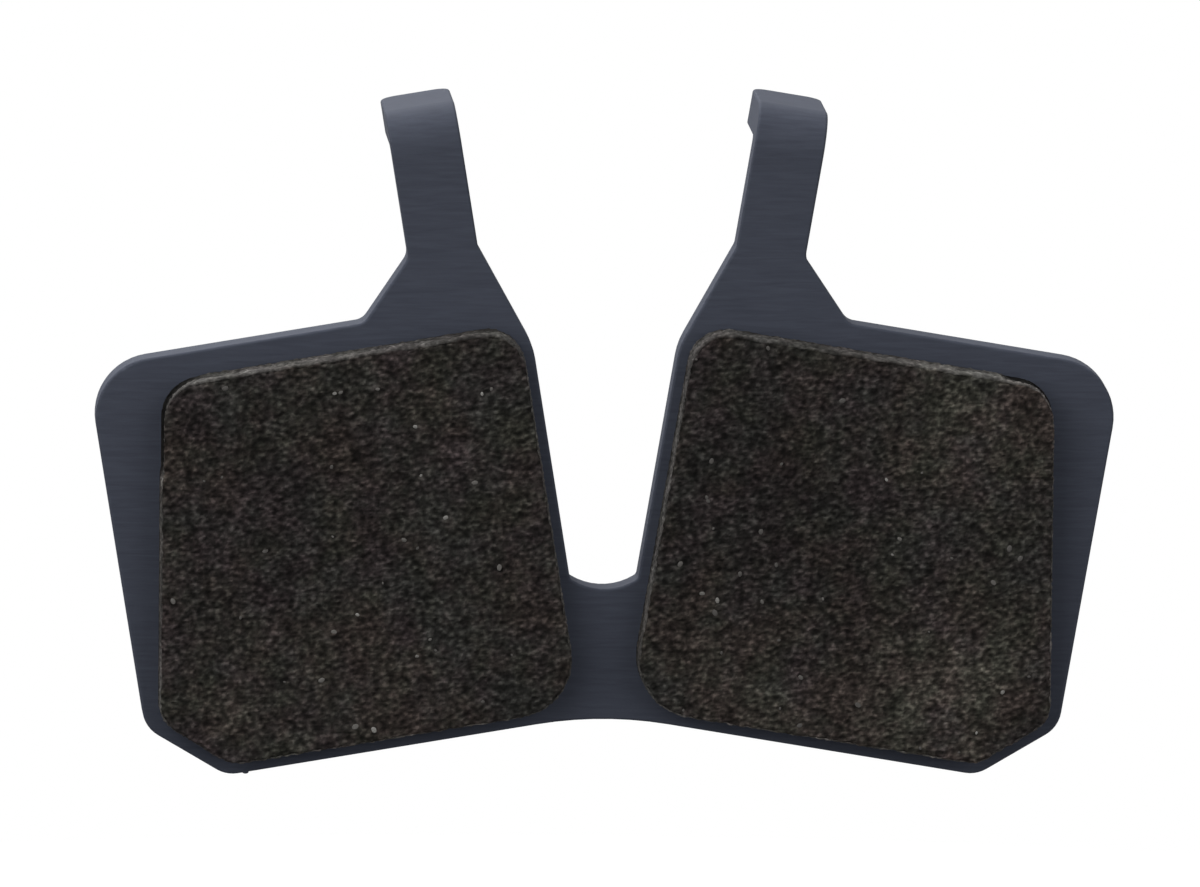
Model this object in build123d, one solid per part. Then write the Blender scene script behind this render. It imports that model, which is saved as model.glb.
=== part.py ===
from build123d import *
import os
from math import cos, hypot, radians, sin, tan

# A bicycle disc brake pad. One blanked steel backing plate has two wings that lean outwards, a low bridge
# between them and a stem on each wing, whose end is bent back as a hook. A friction block is bonded to the
# front of each wing. Millimetres and degrees: X runs across the pad, Z is up, the friction faces -Y.
# The origin is the middle of the bridge, on the back face that the pistons push.

# Backing plate
plate_thickness = 1.8
plate_edge_radius = 0.14
wing_lean = 9.4
wing_width = 22.14
wing_height = 21.46
wing_inset = 1.05
wing_top_radius = 3.0
corner_cut_side = 3.05
corner_cut_foot = 3.64
corner_cut_radius = 1.6

# Bridge, and the notch above it
bridge_height = 6.6
bridge_blend_radius = 20.0
notch_sag = 0.52
notch_corner_radius = 0.3

# Necks, stems and hooks
neck_shoulder_drop = 2.55
neck_shoulder_radius = 3.5
neck_foot_reach = 8.17
neck_height = 2.89
neck_corner_radius = 0.8
stem_inset = 1.95
stem_width = 3.51
hook_rise = 10.06
hook_bend_radius = 0.3
hook_reach = 5.2
hook_corner_radius = 0.8

# Friction blocks
block_thickness = 2.0
block_top_margin = 1.27
block_inner_margin = 0.5
block_outer_margin = 0.52
block_bottom_margin = 0.74
block_corner_cut_margin = 0.75
block_top_radius = 2.0
block_foot_radius = 3.0
block_corner_cut_radius = 1.5
block_edge_radius = 0.08
block_draft = 0.5

# The right wing is drawn in its own directions: u across it from its inner side outwards, v up its sides.
lean = radians(wing_lean)
u_inner = wing_inset
u_outer = u_inner + wing_width
u_stem = u_inner + stem_inset
v_bottom = bridge_blend_radius * (1 - cos(lean)) - bridge_height / 2 * cos(lean)
v_top = v_bottom + wing_height
v_neck = v_top + neck_height
v_bend = v_top + hook_rise - plate_thickness - hook_bend_radius
same_height = 0.001


def leaning(u, v):
    """X and Z of the point at u and v on the right wing."""
    return (u * cos(lean) + v * sin(lean), v * cos(lean) - u * sin(lean))


def at_height(x, v):
    """X and Z of the point at distance x from the middle of the pad and at v up the right wing."""
    return (x, (v - x * sin(lean)) / cos(lean))


def filleted(corners):
    """An open run of straight lines through (point, corner radius) pairs."""
    points = [point for point, radius in corners]
    radii = [radius for point, radius in corners[1:-1]]
    return FilletPolyline(*points, radius=radii)


def plate_outline():
    """The blank's flat outline, with each stem cut off where its hook begins to bend."""
    notch_corner_z = bridge_height / 2 + notch_sag
    notch_corner = leaning(u_inner, (notch_corner_z + u_inner * sin(lean)) / cos(lean))
    blend_end = at_height(bridge_blend_radius * sin(lean), v_bottom)
    right = filleted([
        (blend_end, 0),
        (leaning(u_outer - corner_cut_foot, v_bottom), corner_cut_radius),
        (leaning(u_outer, v_bottom + corner_cut_side), corner_cut_radius),
        (leaning(u_outer, v_top), wing_top_radius),
        (leaning(u_inner + neck_foot_reach, v_top), neck_corner_radius),
        (leaning(u_stem + stem_width, v_neck), neck_corner_radius),
        (leaning(u_stem + stem_width, v_bend), 0),
        (leaning(u_stem, v_bend), 0),
        (leaning(u_stem, v_neck), neck_corner_radius),
        (leaning(u_inner, v_top - neck_shoulder_drop), neck_shoulder_radius),
        (notch_corner, 0),
    ])
    left = mirror(right, about=Plane.YZ)
    notch_floor = ThreePointArc(right @ 1, (0, bridge_height / 2), left @ 1)
    bridge_arch = ThreePointArc(right @ 0, (0, -bridge_height / 2), left @ 0)
    outline = make_face(right.edges() + left.edges() + notch_floor.edges() + bridge_arch.edges()).face()
    notch_ends = [end for end in outline.vertices() if abs(end.Y - notch_corner_z) < same_height]
    return outline.fillet_2d(notch_corner_radius, notch_ends)


def break_edges(solid, edges):
    """Rounds the rim of the sheet, but not across a stem where its hook is joined on."""
    def joins_hook(edge):
        middle = edge.center()
        return abs(abs(middle.X) * sin(lean) + middle.Z * cos(lean) - v_bend) < same_height

    return solid.fillet(plate_edge_radius, [edge for edge in edges if not joins_hook(edge)])


def flat_plate():
    blank = extrude(Plane.XZ * plate_outline(), plate_thickness).solid()
    by_depth = blank.faces().sort_by(Axis.Y)
    return break_edges(blank, by_depth[0].edges() + by_depth[-1].edges())


def right_hook():
    """The bent end of the right stem: its side profile, pushed across it, with the free corners rounded."""
    x, z = leaning(u_stem, v_bend)
    side = Plane(origin=(x, 0, z), x_dir=(0, 1, 0), z_dir=(cos(lean), 0, -sin(lean)))
    # Before and after the corners are rounded, only edges through the sheet at the tip run along this axis.
    through_tip = Axis(side.origin, side.y_dir)
    top = hook_bend_radius + plate_thickness
    bend_centre = (hook_bend_radius, 0)
    outside = CenterArc(bend_centre, top, 90, 90)
    inside = CenterArc(bend_centre, hook_bend_radius, 90, 90)
    free_end = Polyline(outside @ 0, (hook_reach, top), (hook_reach, hook_bend_radius), inside @ 0)
    joint = Line(outside @ 1, inside @ 1)
    profile = make_face(outside.edges() + free_end.edges() + inside.edges() + joint.edges())
    strip = extrude(side * profile, stem_width).solid()
    hook = strip.fillet(hook_corner_radius, strip.edges().filter_by(through_tip))
    walls = [face for face in hook.faces() if face.edges().filter_by(through_tip)]
    rim = [edge for wall in walls for edge in wall.edges().filter_by(through_tip, reverse=True)]
    return break_edges(hook, rim)


def backing_plate():
    hook = right_hook()
    return (flat_plate() + hook + mirror(hook, about=Plane.YZ)).clean()


def right_block():
    """A moulded block with an upright outer side, drafted walls and a rounded front edge."""
    x_outer = leaning(u_outer, v_bottom + corner_cut_side)[0] - block_outer_margin
    u_block = u_inner + block_inner_margin
    v_block_top = v_top - block_top_margin
    v_block_foot = v_bottom + block_bottom_margin
    # The cut corner runs along the plate's own, a margin inside it.
    cut_length = hypot(corner_cut_side, corner_cut_foot)
    cut_u = -corner_cut_side / cut_length
    cut_v = corner_cut_foot / cut_length
    cut_line = cut_u * u_outer + cut_v * (v_bottom + corner_cut_side) + block_corner_cut_margin
    cut_foot = (cut_line - cut_v * v_block_foot) / cut_u
    cut_side = (cut_line - cut_u * x_outer / cos(lean)) / (cut_v - cut_u * tan(lean))
    outline = FilletPolyline(
        leaning(u_block, v_block_foot),
        leaning(cut_foot, v_block_foot),
        at_height(x_outer, cut_side),
        at_height(x_outer, v_block_top),
        leaning(u_block, v_block_top),
        radius=[block_foot_radius, block_corner_cut_radius, block_corner_cut_radius,
                block_top_radius, block_top_radius],
        close=True,
    )
    seat = Plane.XZ.offset(plate_thickness)
    straight = extrude(seat * make_face(outline), block_thickness).solid()
    walls = straight.faces().sort_by(Axis.Y)[1:-1]
    block = straight.draft(walls, seat, block_draft)
    return block.fillet(block_edge_radius, block.faces().sort_by(Axis.Y)[0].edges())


block = right_block()
os.makedirs("parts", exist_ok=True)
export_step(backing_plate(), "parts/backing_plate.step")
export_step(block, "parts/friction_block_right.step")
export_step(mirror(block, about=Plane.YZ), "parts/friction_block_left.step")
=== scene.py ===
from functools import partial
from math import cos, radians, sin

import bmesh
import bpy
from mathutils import Matrix, Vector


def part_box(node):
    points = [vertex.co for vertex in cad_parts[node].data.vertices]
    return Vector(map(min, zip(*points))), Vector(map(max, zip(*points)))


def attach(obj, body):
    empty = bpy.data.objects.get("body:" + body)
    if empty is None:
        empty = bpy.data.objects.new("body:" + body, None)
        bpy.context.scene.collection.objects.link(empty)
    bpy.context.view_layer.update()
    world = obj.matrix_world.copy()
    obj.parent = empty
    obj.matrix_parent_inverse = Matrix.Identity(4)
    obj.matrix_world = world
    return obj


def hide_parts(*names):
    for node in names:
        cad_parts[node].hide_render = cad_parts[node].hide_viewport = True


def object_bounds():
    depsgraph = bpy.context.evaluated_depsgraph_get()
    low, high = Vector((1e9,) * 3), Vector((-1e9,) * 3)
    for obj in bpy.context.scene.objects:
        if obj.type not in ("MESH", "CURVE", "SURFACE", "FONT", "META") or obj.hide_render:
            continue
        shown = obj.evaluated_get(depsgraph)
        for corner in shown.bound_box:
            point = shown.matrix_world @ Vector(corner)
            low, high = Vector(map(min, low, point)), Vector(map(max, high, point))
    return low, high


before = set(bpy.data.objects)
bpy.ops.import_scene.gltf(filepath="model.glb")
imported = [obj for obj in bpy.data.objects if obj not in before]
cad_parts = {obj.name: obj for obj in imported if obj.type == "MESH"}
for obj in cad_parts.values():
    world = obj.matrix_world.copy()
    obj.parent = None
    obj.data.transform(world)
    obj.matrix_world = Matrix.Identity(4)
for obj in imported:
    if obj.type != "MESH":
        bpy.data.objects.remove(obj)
cad_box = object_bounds()


# Backing plate.
# One piece of steel sheet, blanked in a press, with the ends of its stems bent back as hooks.
# It is coated all over in a satin blue-grey that shows faint wavy streaks across the pad.
millimetre = 0.001
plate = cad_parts["backing_plate"]
coat_colour = (0.0363, 0.0406, 0.055, 1)
coat_colour_thin = (0.0475, 0.0531, 0.0706, 1)
coat_roughness = (0.72, 0.84)
coat_specular = 0.08
streak_length = 2.6 * millimetre
streak_width = 0.2 * millimetre
streak_waviness = 0.5
streak_contrast = (0.3, 0.7)
peel_size = 0.16 * millimetre
peel_height = 0.004 * millimetre


def new_material(name):
    """An empty node material with its Principled shader, and the tree that holds it."""
    material = bpy.data.materials.new(name)
    material.use_nodes = True
    tree = material.node_tree
    return material, tree, tree.nodes["Principled BSDF"]


def add_node(tree, kind, links=None, **settings):
    """A node with its own settings, its inputs set to values or linked to other nodes' sockets."""
    node = tree.nodes.new(kind)
    for key, value in settings.items():
        setattr(node, key, value)
    for socket, value in (links or {}).items():
        if isinstance(value, bpy.types.NodeSocket):
            tree.links.new(value, node.inputs[socket])
        else:
            node.inputs[socket].default_value = value
    return node


def add_ramp(tree, value, low, high, to_low=0.0, to_high=1.0):
    """A value between low and high, spread over another range and held at that range's ends."""
    links = {"Value": value, "From Min": low, "From Max": high, "To Min": to_low, "To Max": to_high}
    return add_node(tree, "ShaderNodeMapRange", links).outputs["Result"]


def coated_steel():
    """Satin coating: tone and gloss follow the faint streaks, over a fine orange peel."""
    material, tree, shader = new_material("coated_steel")
    place = add_node(tree, "ShaderNodeTexCoord").outputs["Object"]
    stretched = add_node(tree, "ShaderNodeMapping", {
        "Vector": place, "Scale": (1 / streak_length, 1 / streak_width, 1 / streak_width),
    })
    streaks = add_node(tree, "ShaderNodeTexNoise", {
        "Vector": stretched.outputs["Vector"], "Scale": 1.0, "Detail": 3.0, "Roughness": 0.6,
        "Distortion": streak_waviness,
    }).outputs["Fac"]
    colour = add_node(tree, "ShaderNodeMix", {
        "Factor": add_ramp(tree, streaks, *streak_contrast), "A": coat_colour, "B": coat_colour_thin,
    }, data_type="RGBA")
    gloss = add_ramp(tree, streaks, 0.0, 1.0, *coat_roughness)
    peel = add_node(tree, "ShaderNodeTexNoise", {"Vector": place, "Scale": 1 / peel_size, "Detail": 2.0})
    bump = add_node(tree, "ShaderNodeBump", {
        "Height": peel.outputs["Fac"], "Distance": peel_height, "Strength": 1.0,
    })
    tree.links.new(colour.outputs["Result"], shader.inputs["Base Color"])
    tree.links.new(gloss, shader.inputs["Roughness"])
    tree.links.new(bump.outputs["Normal"], shader.inputs["Normal"])
    shader.inputs["Specular IOR Level"].default_value = coat_specular
    return material


plate.data.materials[0] = coated_steel()


# Burr.
# A crumb of steel that the press left on the lower edge of the left wing, beside the cut corner.
# It wasn't filed off before the plate was coated, so the coating runs over it.
burr_place = Vector((-17.85, -1.68, -5.975)) * millimetre
burr_size = Vector((0.16, 0.12, 0.088)) * millimetre
burr_mesh = bpy.data.meshes.new("edge_burr")
crumb = bmesh.new()
bmesh.ops.create_icosphere(
    crumb, subdivisions=3, radius=1.0,
    matrix=Matrix.Translation(burr_place) @ Matrix.Diagonal(burr_size).to_4x4(),
)
crumb.to_mesh(burr_mesh)
crumb.free()
burr_mesh.shade_smooth()
burr_mesh.materials.append(plate.data.materials[0])
burr = bpy.data.objects.new("edge_burr", burr_mesh)
bpy.context.scene.collection.objects.link(burr)
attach(burr, "root")


# Friction blocks.
# Resin, fibres and mineral grains, pressed hot against the plate and bonded to it in the press.
# The faces are ground flat and stay open-pored, and the edges crumble and wear pale.

# Sizes in this section are in millimetres, because in metres the remesher can't make such small faces.
face_size = 0.08
weld_distance = 0.001
grain_size = 0.16
grain_stretch = 1.6
grain_depth = 0.12
grain_coarseness = 0.55
fibre_to_grain = 1.5
pebble_size = 0.23
edge_chip_size = 0.45
edge_chip_depth = 0.2
edge_wear_steps = 2
bonded_foot = (0.02, 0.18)
front_y = min(corner.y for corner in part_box("friction_block_left")) / millimetre
seat_y = max(corner.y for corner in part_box("friction_block_left")) / millimetre
block_seeds = {"left": 3.0, "right": 8.0}

# Where the pores, the rim, its chips and the top side fade in, and what counts as the flat face.
pore_limits = (-0.2, 0.5)
rim_limits = (0.05, 0.5)
chip_limits = (0.4, 0.66)
topside_limits = (0.2, 0.9)
face_limit = -0.98
rim_free = 0.01

# Specks for each square millimetre of the face, the size of one, and how much smaller or larger they get.
# Their paleness stays above 0, because the compound has 0 there.
speck_density = 0.09
speck_size = (0.16, 0.06, 0.115)
speck_growth = (0.4, 1.15)
speck_turn = (0.0, 6.283)
speck_paleness = (0.01, 1.0)
paleness_seed = 11
turn_seed = 12
growth_seed = 13

# Hollows at the upper outer corners: x, z, reach and depth. They keep their full depth up to hollow_rise from
# the plate, and a share of it in front of that.
hollows = (
    (21.3, 13.4, 1.9, 0.15),
    (-21.9, 11.9, 2.9, 0.15),
)
hollow_core = 0.65
hollow_at_front = 0.6
hollow_rise = (1.0, 1.4)

# The left block's outer side stands a little further in, and further still above a step.
set_back = 0.1
set_back_above = 0.06
set_back_across = (-19.8, -21.3)
set_back_step = (9.2, 9.5)

# Where the compound is paler, or darker where the gain is negative: x, z, reach and gain.
tone_spots = (
    (17.8, -1.8, 6.5, 0.75),
    (18.5, 12.8, 6.0, 0.5),
    (7.0, 8.0, 8.0, -0.35),
    (6.5, -1.0, 6.0, 0.35),
    (11.5, -3.5, 5.5, 0.3),
    (-17.0, 7.0, 8.0, -0.2),
    (-12.0, -3.0, 7.0, 0.2),
    (-19.0, -2.8, 2.5, 0.4),
    (20.9, -4.2, 2.4, -0.5),
    (-20.6, -4.4, 2.4, -0.4),
    (3.2, 15.0, 2.6, -0.6),
    (-22.35, 9.2, 0.45, 2.2),
)

# Colours of the compound and of the dust on its sides, and of the specks by their paleness.
compound_grey_green = (0.0159, 0.0155, 0.0136, 1)
compound_brown = (0.0178, 0.0141, 0.0136, 1)
cool_tint = (1, 1, 1.05, 1)
warm_tint = (1, 1, 0.92, 1)
side_dust = (0.0171, 0.0166, 0.0159, 1)
dust_share = 0.7
speck_tones = (
    (0.3, (0.056, 0.0525, 0.049, 1)),
    (0.8, (0.094, 0.089, 0.0825, 1)),
    (1.0, (0.2, 0.195, 0.1825, 1)),
)

# How far each pattern makes the compound lighter or darker, as powers of e, with its size and its limits.
pattern_coarseness = 0.6
fine_size = 0.11
fine_share = 0.22
# The relief tone darkens the pores and lightens the grain tops: partly the compound's own tone, partly
# painted shade in the pores.
relief_limits = (0.2, 0.8)
pore_shade_and_grain_tone = 1.17
mineral_size = 0.2
mineral_tone = 0.2
cloud_size = 0.7
cloud_limits = (0.25, 0.75)
cloud_tone = 0.5
side_limits = (0.25, 0.8)
side_patch_limits = (0.3, 0.7)
side_patch_size = 0.26
side_patch_tone = (-0.4, 0.5)
side_cloud_size = 1.0
side_cloud_tone = 0.4
# The sides' tone rises from the plate towards the front; its low end near the plate is painted shade where
# the sides meet the plate.
side_depth = (0.1, 1.2)
side_tone_and_foot_shade = (0.42, 0.88)
side_calm = 0.55
# The hollow tone paints shade into the hollows at the upper outer corners, near the plate.
hollow_painted_shade = -1.8

# The hue changes in patches of these sizes, and a little from grain to grain.
hue_patch_size = 2.6
tint_patch_size = 3.0
tint_by_spot_tone = 0.35
hue_range = (0.38, 0.62)
hue_by_grain = 0.06
fine_bump = 0.03
compound_roughness = 0.85
compound_specular = 0.05
speck_roughness = 0.7
speck_specular = 0.2


def add_math(tree, operation, *values):
    """The result of one step of arithmetic on values or sockets."""
    return add_node(tree, "ShaderNodeMath", dict(enumerate(values)), operation=operation).outputs[0]


def add_distance(tree, place, point):
    """How far a place is from a fixed point."""
    links = {0: place, 1: point}
    return add_node(tree, "ShaderNodeVectorMath", links, operation="DISTANCE").outputs["Value"]


def add_product(tree, vector, factor):
    """A vector times a number, or times another vector part by part."""
    if isinstance(factor, tuple):
        node = add_node(tree, "ShaderNodeVectorMath", {0: vector, 1: factor}, operation="MULTIPLY")
    else:
        node = add_node(tree, "ShaderNodeVectorMath", {0: vector, "Scale": factor}, operation="SCALE")
    return node.outputs[0]


def add_total(tree, first, second):
    """The sum of two vectors."""
    return add_node(tree, "ShaderNodeVectorMath", {0: first, 1: second}, operation="ADD").outputs[0]


def add_parts(tree, vector):
    """The X, Y and Z of a vector."""
    return add_node(tree, "ShaderNodeSeparateXYZ", {0: vector}).outputs


def grain_tree():
    """Geometry Nodes that press pores into a block, crumble its edge, hollow its corners and add specks."""
    tree = bpy.data.node_groups.new("friction_grain", "GeometryNodeTree")
    tree.is_modifier = True
    tree.interface.new_socket("Geometry", in_out="INPUT", socket_type="NodeSocketGeometry")
    sizes = {
        "Grain Size": grain_size, "Grain Depth": grain_depth, "Pebble Size": pebble_size,
        "Chip Size": edge_chip_size, "Chip Depth": edge_chip_depth, "Front": front_y, "Seat": seat_y,
        "Speck Density": speck_density, "Seed": 0.0,
    }
    for name, value in sizes.items():
        socket = tree.interface.new_socket(name, in_out="INPUT", socket_type="NodeSocketFloat")
        socket.default_value = value
    for name in ("Compound", "Speck Mineral"):
        tree.interface.new_socket(name, in_out="INPUT", socket_type="NodeSocketMaterial")
    tree.interface.new_socket("Geometry", in_out="OUTPUT", socket_type="NodeSocketGeometry")
    given = tree.nodes.new("NodeGroupInput").outputs
    math = partial(add_math, tree)
    ramp = partial(add_ramp, tree)

    def noise(size, detail):
        links = {
            "Vector": long_way, "W": given["Seed"], "Scale": math("DIVIDE", 1.0, size),
            "Detail": detail, "Roughness": grain_coarseness,
        }
        return add_node(tree, "ShaderNodeTexNoise", links, noise_dimensions="4D").outputs[0]

    def blur(value, steps):
        links = {"Value": value, "Iterations": steps}
        return add_node(tree, "GeometryNodeBlurAttribute", links, data_type="FLOAT").outputs[0]

    def store(geometry, name, value):
        links = {"Geometry": geometry, "Name": name, "Value": value}
        node = add_node(tree, "GeometryNodeStoreNamedAttribute", links, data_type="FLOAT", domain="POINT")
        return node.outputs[0]

    def stored(name):
        links = {"Name": name}
        return add_node(tree, "GeometryNodeInputNamedAttribute", links, data_type="FLOAT").outputs[0]

    def spread(low, high, seed):
        # The float limits are the third and fourth inputs, behind the vector ones of the same names.
        links = {2: low, 3: high, "Seed": seed}
        return add_node(tree, "FunctionNodeRandomValue", links, data_type="FLOAT").outputs[1]

    place = add_node(tree, "GeometryNodeInputPosition").outputs[0]
    normal = add_node(tree, "GeometryNodeInputNormal").outputs[0]
    where = add_parts(tree, place)
    facing = add_parts(tree, normal)
    long_way = add_product(tree, place, (1 / grain_stretch, 1, 1))
    from_seat = math("SUBTRACT", given["Seat"], where["Y"])
    square = math("MULTIPLY", facing["Y"], facing["Y"])
    upright = math("SUBTRACT", 1.0, square)

    # Pores between grains, fibres and pebbles.
    grains = noise(given["Grain Size"], 2.0)
    fibres = noise(math("MULTIPLY", given["Grain Size"], fibre_to_grain), 2.0)
    ridge = math("ABSOLUTE", math("SUBTRACT", math("MULTIPLY", fibres, 2.0), 1.0))
    apart = add_node(tree, "ShaderNodeCombineXYZ", {"Y": given["Seed"]}).outputs[0]
    pebbles = add_node(tree, "ShaderNodeTexVoronoi", {
        "Vector": add_total(tree, long_way, apart), "Scale": math("DIVIDE", 1.0, given["Pebble Size"]),
    }).outputs["Distance"]
    bumpy = math("SUBTRACT", grains, math("MULTIPLY", math("ADD", ridge, pebbles), 0.5))
    relief = ramp(bumpy, *pore_limits)
    sunk = math("MULTIPLY", math("SUBTRACT", 1.0, relief), given["Grain Depth"])

    # Chips along the front edge, where the surface turns from the face to the sides.
    turning = math("MULTIPLY", math("MULTIPLY", square, upright), 4.0)
    rim = ramp(blur(turning, edge_wear_steps), *rim_limits)
    chips = ramp(noise(given["Chip Size"], 2.0), *chip_limits)
    chipped = math("MULTIPLY", math("MULTIPLY", chips, rim), given["Chip Depth"])
    skin = blur(upright, 1)

    # The top side keeps its full height, and the upper outer corners are hollowed.
    topside = math("MULTIPLY", upright, ramp(facing["Z"], *topside_limits))
    inward = math("SUBTRACT", math("ADD", sunk, chipped), math("MULTIPLY", topside, given["Grain Depth"]))
    at_foot = math("SUBTRACT", 1.0, ramp(from_seat, *hollow_rise))
    undercut = math("MULTIPLY_ADD", at_foot, 1 - hollow_at_front, hollow_at_front)
    level = add_product(tree, place, (1, 0, 1))
    hollow_shade = 0.0
    for x, z, reach, depth in hollows:
        away = add_distance(tree, level, (x, 0, z))
        inside = math("SUBTRACT", 1.0, ramp(away, hollow_core * reach, reach))
        near = math("MULTIPLY", inside, upright)
        inward = math("ADD", inward, math("MULTIPLY", undercut, math("MULTIPLY", near, depth)))
        hollow_shade = math("ADD", hollow_shade, near)
    # Near the plate the hollows are kept as a mask for the shade that the material paints into them.
    hollow_shade = math("MULTIPLY", hollow_shade, at_foot)
    inward = math("MULTIPLY", inward, math("MULTIPLY", ramp(from_seat, *bonded_foot), -1.0))

    # The left block's outer side moves in as a whole.
    stepped = math("MULTIPLY_ADD", ramp(where["Z"], *set_back_step), set_back_above, set_back)
    aside = math("MULTIPLY", ramp(where["X"], *set_back_across), stepped)
    narrowed = add_node(tree, "ShaderNodeCombineXYZ", {"X": aside}).outputs[0]
    offset = add_total(tree, add_product(tree, normal, inward), narrowed)

    marked = store(store(store(given["Geometry"], "relief", relief), "skin", skin), "hollow_shade", hollow_shade)
    flat = math("LESS_THAN", facing["Y"], face_limit)
    flagged = store(marked, "ground", math("MULTIPLY", flat, math("LESS_THAN", rim, rim_free)))
    moved = add_node(tree, "GeometryNodeSetPosition", {"Geometry": flagged, "Offset": offset}).outputs[0]

    # Flat specks lie in the ground face and are cut off level with it.
    points = add_node(tree, "GeometryNodeDistributePointsOnFaces", {
        "Mesh": moved, "Selection": math("GREATER_THAN", stored("ground"), 0.5),
        "Density": given["Speck Density"],
        "Seed": add_node(tree, "FunctionNodeFloatToInt", {0: given["Seed"]}).outputs[0],
    })
    scattered = store(points.outputs["Points"], "paleness", spread(*speck_paleness, paleness_seed))
    bead = add_node(tree, "GeometryNodeMeshIcoSphere", {"Radius": 1.0, "Subdivisions": 2}).outputs["Mesh"]
    turn = add_node(tree, "ShaderNodeCombineXYZ", {"Y": spread(*speck_turn, turn_seed)}).outputs[0]
    size = add_product(tree, speck_size, spread(*speck_growth, growth_seed))
    specks = add_node(tree, "GeometryNodeInstanceOnPoints", {
        "Points": scattered, "Instance": bead, "Rotation": turn, "Scale": size,
    }).outputs[0]
    loose = add_node(tree, "GeometryNodeRealizeInstances", {"Geometry": specks}).outputs[0]
    cut = add_node(tree, "ShaderNodeCombineXYZ", {
        "X": where["X"], "Y": math("MAXIMUM", where["Y"], given["Front"]), "Z": where["Z"],
    }).outputs[0]
    flush = add_node(tree, "GeometryNodeSetPosition", {"Geometry": loose, "Position": cut}).outputs[0]

    joined = tree.nodes.new("GeometryNodeJoinGeometry")
    tree.links.new(flush, joined.inputs[0])
    tree.links.new(moved, joined.inputs[0])
    real = add_node(tree, "GeometryNodeRealizeInstances", {"Geometry": joined.outputs[0]}).outputs[0]
    pressed = add_node(tree, "GeometryNodeSetMaterial", {
        "Geometry": real, "Material": given["Compound"],
    }).outputs[0]
    speckled = add_node(tree, "GeometryNodeSetMaterial", {
        "Geometry": pressed, "Selection": math("GREATER_THAN", stored("paleness"), 0.0),
        "Material": given["Speck Mineral"],
    }).outputs[0]
    tree.links.new(speckled, tree.nodes.new("NodeGroupOutput").inputs[0])
    return tree


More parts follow.
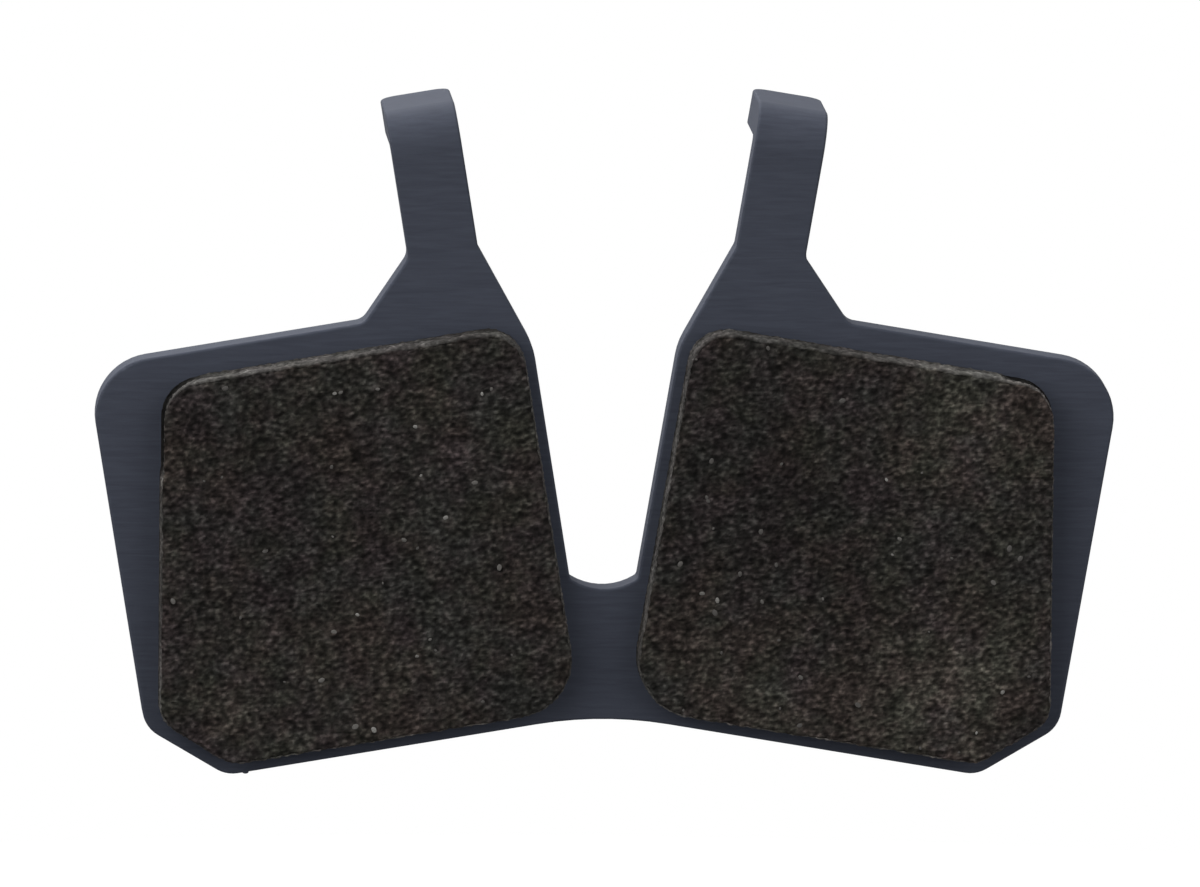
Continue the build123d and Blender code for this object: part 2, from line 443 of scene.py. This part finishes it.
def friction_compound():
    """Dark resin with pores and paler grains, mottled in brown and grey-green and in paler and darker spots,
    worn pale at the edges, with painted shade in its pores, at the foot of its sides and in its hollows.
    """
    material, tree, shader = new_material("friction_compound")
    place = add_node(tree, "ShaderNodeTexCoord").outputs["Object"]
    math = partial(add_math, tree)
    ramp = partial(add_ramp, tree)

    def noise(size, detail):
        links = {
            "Vector": place, "Scale": 1 / (size * millimetre), "Detail": detail,
            "Roughness": pattern_coarseness,
        }
        return add_node(tree, "ShaderNodeTexNoise", links).outputs["Fac"]

    def stored(name):
        return add_node(tree, "ShaderNodeAttribute", attribute_name=name).outputs["Fac"]

    def tones(patch, grain, low, high):
        mixed = math("ADD", math("MULTIPLY", patch, 1 - hue_by_grain), math("MULTIPLY", grain, hue_by_grain))
        blend = add_node(tree, "ShaderNodeValToRGB", {"Fac": mixed})
        for element, position, colour in zip(blend.color_ramp.elements, hue_range, (low, high)):
            element.position = position
            element.color = colour
        return blend.outputs["Color"]

    fine = noise(fine_size, 2.0)
    minerals = add_node(tree, "ShaderNodeTexVoronoi", {
        "Vector": place, "Scale": 1 / (mineral_size * millimetre),
    })
    each = add_node(tree, "ShaderNodeSeparateColor", {0: minerals.outputs["Color"]}).outputs
    height = add_node(tree, "ShaderNodeMix", {
        "Factor": fine_share, "A": stored("relief"), "B": fine,
    }).outputs["Result"]
    # Darker in the pores and lighter on the grains: partly the compound's own tone, partly shade painted into
    # the pores.
    pore_shade_and_grain = ramp(height, *relief_limits, -pore_shade_and_grain_tone, pore_shade_and_grain_tone)
    lit_minerals = ramp(each["Red"], 0.0, 1.0, -mineral_tone, mineral_tone)
    clouds = ramp(noise(cloud_size, 3.0), *cloud_limits, -cloud_tone, cloud_tone)
    grainy = math("ADD", math("ADD", pore_shade_and_grain, lit_minerals), clouds)

    # The sides are paler than the face, patchy, and calmer in their grain. Towards the plate they turn
    # darker, as painted shade where they meet it.
    skin = ramp(stored("skin"), *side_limits)
    from_seat = math("SUBTRACT", seat_y * millimetre, add_parts(tree, place)["Y"])
    front_paleness_and_foot_shade = ramp(from_seat, side_depth[0] * millimetre, side_depth[1] * millimetre, *side_tone_and_foot_shade)
    side_patches = ramp(noise(side_patch_size, 1.0), *side_patch_limits, *side_patch_tone)
    side_clouds = ramp(noise(side_cloud_size, 1.0), *side_patch_limits, -side_cloud_tone, side_cloud_tone)
    side_wear_and_foot_shade = math("MULTIPLY", skin, math("ADD", math("ADD", side_patches, side_clouds), front_paleness_and_foot_shade))
    surface = math("MULTIPLY", grainy, math("MULTIPLY_ADD", skin, -side_calm, 1.0))

    spot_tone = 0.0
    for x, z, reach, gain in tone_spots:
        away = add_distance(tree, place, Vector((x, front_y, z)) * millimetre)
        spot_tone = math("ADD", spot_tone, ramp(away, 0.0, reach * millimetre, gain, 0.0))
    # Painted shade darkens the hollows near the plate, added to the paler and darker spots.
    spots_and_hollow_shade = math("MULTIPLY_ADD", stored("hollow_shade"), hollow_painted_shade, spot_tone)
    lightness = math("EXPONENT", math("ADD", math("ADD", surface, side_wear_and_foot_shade), spots_and_hollow_shade))

    hue = tones(noise(hue_patch_size, 3.0), each["Green"], compound_grey_green, compound_brown)
    browned = math("MULTIPLY_ADD", spot_tone, tint_by_spot_tone, noise(tint_patch_size, 2.0))
    tinted = add_node(tree, "ShaderNodeMix", {
        "Factor": 1.0, "A": hue, "B": tones(browned, each["Blue"], cool_tint, warm_tint),
    }, data_type="RGBA", blend_type="MULTIPLY")
    dusty = add_node(tree, "ShaderNodeMix", {
        "Factor": math("MULTIPLY", skin, dust_share), "A": tinted.outputs["Result"], "B": side_dust,
    }, data_type="RGBA")
    colour = add_product(tree, dusty.outputs["Result"], lightness)
    bump = add_node(tree, "ShaderNodeBump", {
        "Height": fine, "Distance": fine_bump * millimetre, "Strength": 1.0,
    })
    tree.links.new(colour, shader.inputs["Base Color"])
    tree.links.new(bump.outputs["Normal"], shader.inputs["Normal"])
    shader.inputs["Roughness"].default_value = compound_roughness
    shader.inputs["Specular IOR Level"].default_value = compound_specular
    return material


def speck_mineral():
    """Pale mineral specks, each of its own lightness, most of them dull."""
    material, tree, shader = new_material("speck_mineral")
    paleness = add_node(tree, "ShaderNodeAttribute", attribute_name="paleness").outputs["Fac"]
    tones = add_node(tree, "ShaderNodeValToRGB", {"Fac": paleness})
    tones.color_ramp.elements.new(0.5)
    for element, (position, colour) in zip(tones.color_ramp.elements, speck_tones):
        element.position = position
        element.color = colour
    tree.links.new(tones.outputs["Color"], shader.inputs["Base Color"])
    shader.inputs["Roughness"].default_value = speck_roughness
    shader.inputs["Specular IOR Level"].default_value = speck_specular
    return material


def even_blank(node):
    """A copy of a block in millimetres, welded shut and cut into small even faces."""
    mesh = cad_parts[node].data.copy()
    mesh.materials.clear()
    mesh.transform(Matrix.Scale(1 / millimetre, 4))
    welded = bmesh.new()
    welded.from_mesh(mesh)
    bmesh.ops.remove_doubles(welded, verts=welded.verts, dist=weld_distance)
    welded.to_mesh(mesh)
    welded.free()
    blank = bpy.data.objects.new(node + "_blank", mesh)
    bpy.context.scene.collection.objects.link(blank)
    even = blank.modifiers.new("Even faces", "REMESH")
    even.mode = "VOXEL"
    even.voxel_size = face_size
    even.use_smooth_shade = True
    return blank


def plain_mesh(source, name):
    """What the modifiers of an object make, as a plain mesh, and the object gone."""
    bpy.context.view_layer.update()
    evaluated = source.evaluated_get(bpy.context.evaluated_depsgraph_get())
    mesh = bpy.data.meshes.new_from_object(evaluated)
    mesh.name = name
    bpy.data.objects.remove(source)
    return mesh


def set_input(modifier, name, value):
    """Sets a named input of a Geometry Nodes modifier by its socket's identifier."""
    for item in modifier.node_group.interface.items_tree:
        if item.in_out == "INPUT" and item.name == name:
            modifier[item.identifier] = value


def close_seat(mesh):
    """Makes the hidden face against the plate one flat face."""
    shape = bmesh.new()
    shape.from_mesh(mesh)
    lowest = seat_y - bonded_foot[0]
    seat = [face for face in shape.faces if face.normal.y > 0.99 and face.calc_center_median().y > lowest]
    bmesh.ops.dissolve_faces(shape, faces=seat)
    shape.to_mesh(mesh)
    shape.free()


grain = grain_tree()
compound = friction_compound()
mineral = speck_mineral()
for side, seed in block_seeds.items():
    node = f"friction_block_{side}"
    blank = even_blank(node)
    pressed = blank.modifiers.new("Grain", "NODES")
    pressed.node_group = grain
    set_input(pressed, "Seed", seed)
    set_input(pressed, "Compound", compound)
    set_input(pressed, "Speck Mineral", mineral)
    mesh = plain_mesh(blank, f"friction_{side}")
    close_seat(mesh)
    mesh.materials.pop(index=mesh.materials.values().index(None))
    mesh.transform(Matrix.Scale(millimetre, 4))
    block = bpy.data.objects.new(f"friction_{side}", mesh)
    bpy.context.scene.collection.objects.link(block)
    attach(block, "root")
    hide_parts(node)


# Stage.
# A disc of pale paper lies below the pad, which hangs over it as it does when its mount holds it.
# A white room and four soft boxes light the pad: at the upper left, behind, and to each side in front.
floor_drop = 30 * millimetre
floor_radius = 0.15
floor_sides = 96
paper_colour = (0.08, 0.08, 0.08, 1)
paper_edge = (0.04, 0.11)
paper_glow = (0.8, 1.0)
room_light = 0.24
room_slope = 0.288

# Name, direction from the pad, distance, size and power.
soft_boxes = (
    ("upper_box", (-0.55, -0.16, 0.82), 0.22, 0.26, 0.496),
    ("back_box", (-0.28, 0.55, 0.76), 0.25, 0.2, 0.8),
    ("left_box", (-0.58, -0.77, 0.26), 0.4, 0.3, 0.672),
    ("right_box", (0.58, -0.77, 0.26), 0.4, 0.3, 0.576),
)


def seen_directly(tree):
    """1 for rays that show the background itself: from the camera, mirrored or passed through."""
    rays = add_node(tree, "ShaderNodeLightPath").outputs
    mirrored = add_math(tree, "MAXIMUM", rays["Is Glossy Ray"], rays["Is Transmission Ray"])
    return add_math(tree, "MAXIMUM", rays["Is Camera Ray"], mirrored)


def pale_floor():
    """Paper that takes shadows, and shows white where it runs out into the room."""
    material = bpy.data.materials.new("pale_floor")
    material.use_nodes = True
    tree = material.node_tree
    tree.nodes.clear()
    place = add_node(tree, "ShaderNodeTexCoord").outputs["Object"]
    away = add_distance(tree, add_product(tree, place, (1, 1, 0)), (0, 0, 0))
    strength = add_math(tree, "MULTIPLY", seen_directly(tree), add_ramp(tree, away, *paper_edge, *paper_glow))
    matte = add_node(tree, "ShaderNodeBsdfDiffuse", {"Color": paper_colour})
    glow = add_node(tree, "ShaderNodeEmission", {"Color": (1, 1, 1, 1), "Strength": strength})
    both = add_node(tree, "ShaderNodeAddShader", {0: matte.outputs[0], 1: glow.outputs[0]})
    add_node(tree, "ShaderNodeOutputMaterial", {"Surface": both.outputs[0]})
    return material


def white_room():
    """A world that shows white, and lights the pad more from above than from below."""
    world = bpy.data.worlds.new("white_room")
    world.use_nodes = True
    tree = world.node_tree
    towards = add_node(tree, "ShaderNodeTexCoord").outputs["Generated"]
    light = add_math(tree, "MULTIPLY_ADD", add_parts(tree, towards)["Z"], room_slope, room_light)
    strength = add_ramp(tree, seen_directly(tree), 0.0, 1.0, light, 1.0)
    background = tree.nodes["Background"]
    background.inputs["Color"].default_value = (1, 1, 1, 1)
    tree.links.new(strength, background.inputs["Strength"])
    return world


def soft_lamp(name, direction, distance, size, power):
    """A square soft box that faces the middle of the pad."""
    middle = (cad_box[0] + cad_box[1]) / 2
    lamp = bpy.data.lights.new(name, "AREA")
    lamp.size = size
    lamp.energy = power
    holder = bpy.data.objects.new(name, lamp)
    holder.location = middle + Vector(direction).normalized() * distance
    holder.rotation_euler = Vector(direction).to_track_quat("Z", "Y").to_euler()
    holder.visible_camera = False
    bpy.context.scene.collection.objects.link(holder)


floor_mesh = bpy.data.meshes.new("floor")
disc = bmesh.new()
bmesh.ops.create_circle(
    disc, cap_ends=True, segments=floor_sides, radius=floor_radius,
    matrix=Matrix.Translation((0, 0, cad_box[0].z - floor_drop)),
)
disc.to_mesh(floor_mesh)
disc.free()
floor_mesh.materials.append(pale_floor())
floor = bpy.data.objects.new("floor", floor_mesh)
bpy.context.scene.collection.objects.link(floor)
bpy.context.scene.world = white_room()
for soft_box in soft_boxes:
    soft_lamp(*soft_box)


# Camera.
# A long lens a metre away from the pad, a little to its left and above it.
# It is rolled by half a degree and aimed slightly off the middle, as in the photo.
azimuth = radians(3.5)
elevation = radians(8.9)
roll = radians(-0.569)
distance = 1.0
focal_pixels = 20040
picture_width = 1200
sensor_width = 36
side_shift = 0.267 * millimetre
aim = Vector((0, -1.8, 10.666)) * millimetre
looking = Vector((sin(azimuth) * cos(elevation), cos(azimuth) * cos(elevation), -sin(elevation)))
level = Vector((cos(azimuth), -sin(azimuth), 0))
upright = level.cross(looking)
picture_x = cos(roll) * level - sin(roll) * upright
picture_y = sin(roll) * level + cos(roll) * upright
turned = Matrix((picture_x, picture_y, -looking)).transposed().to_4x4()
lens = bpy.data.cameras.new("long_lens")
lens.sensor_width = sensor_width
lens.lens = focal_pixels / picture_width * sensor_width
camera = bpy.data.objects.new("camera", lens)
camera.matrix_world = Matrix.Translation(aim - side_shift * picture_x - distance * looking) @ turned
bpy.context.scene.collection.objects.link(camera)
bpy.context.scene.camera = camera
bpy.context.scene.view_settings.view_transform = "Standard"
